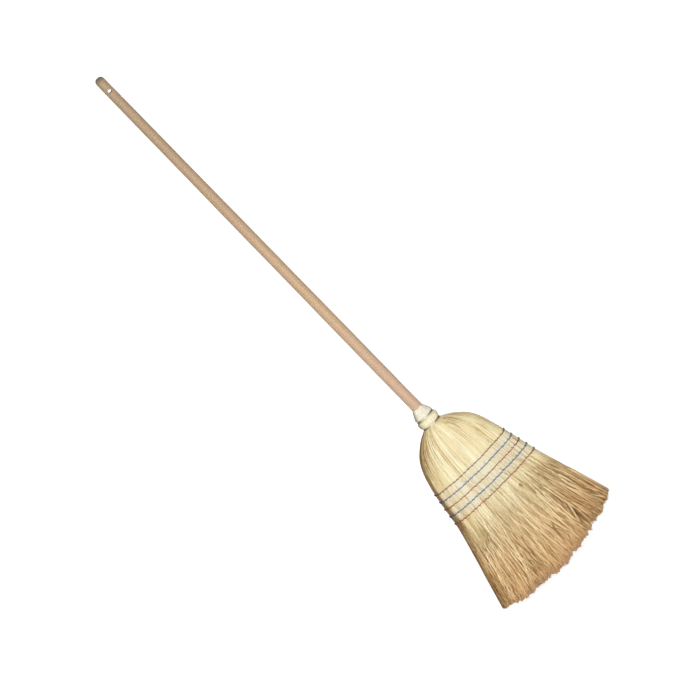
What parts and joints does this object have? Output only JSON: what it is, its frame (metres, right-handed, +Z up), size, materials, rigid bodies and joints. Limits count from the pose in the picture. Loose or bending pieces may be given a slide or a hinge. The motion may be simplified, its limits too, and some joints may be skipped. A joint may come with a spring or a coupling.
{
  "type": "broom",
  "caption": "flat sewn straw broom on a tapered wooden stick, with a wire-bound stalk collar, coloured twine rows, a fanned sweep and a hanging hole",
  "frame": {"origin": "in the middle of the hanging hole, on the stick's axis", "axes": "+Z up along the stick, +X across the broad face to the right as seen from the front, +Y from the front through to the back"},
  "size_m": [0.3216, 0.0702, 1.4],
  "materials": {
    "bare_wood": "bare turned wood, worn smooth",
    "stalk_ends": "pared pale stalk, matt",
    "straw": "dry sorghum straw, matt",
    "binding_wire": "drawn steel wire, dull",
    "red_twine": "twisted cotton twine",
    "blue_twine": "twisted cotton twine"
  },
  "bodies": {
    "root": {"handle": "bare_wood", "inside_stalks": "stalk_ends", "cover_stalks": "stalk_ends", "inner_wire": "binding_wire", "lower_wire": "binding_wire", "upper_wire": "binding_wire", "binding_tacks": "binding_wire", "inside_corn": "straw", "left_shoulder_corn": "straw", "right_shoulder_corn": "straw", "front_cover_corn": "straw", "back_cover_corn": "straw", "inside_sweep": "straw", "left_shoulder_sweep": "straw", "right_shoulder_sweep": "straw", "front_cover_sweep": "straw", "back_cover_sweep": "straw", "twine_row_1": "red_twine", "twine_row_2": "blue_twine", "twine_row_3": "red_twine", "twine_row_4": "blue_twine", "twine_row_5": "red_twine", "twine_knots": "red_twine"}
  },
  "joints": []
}
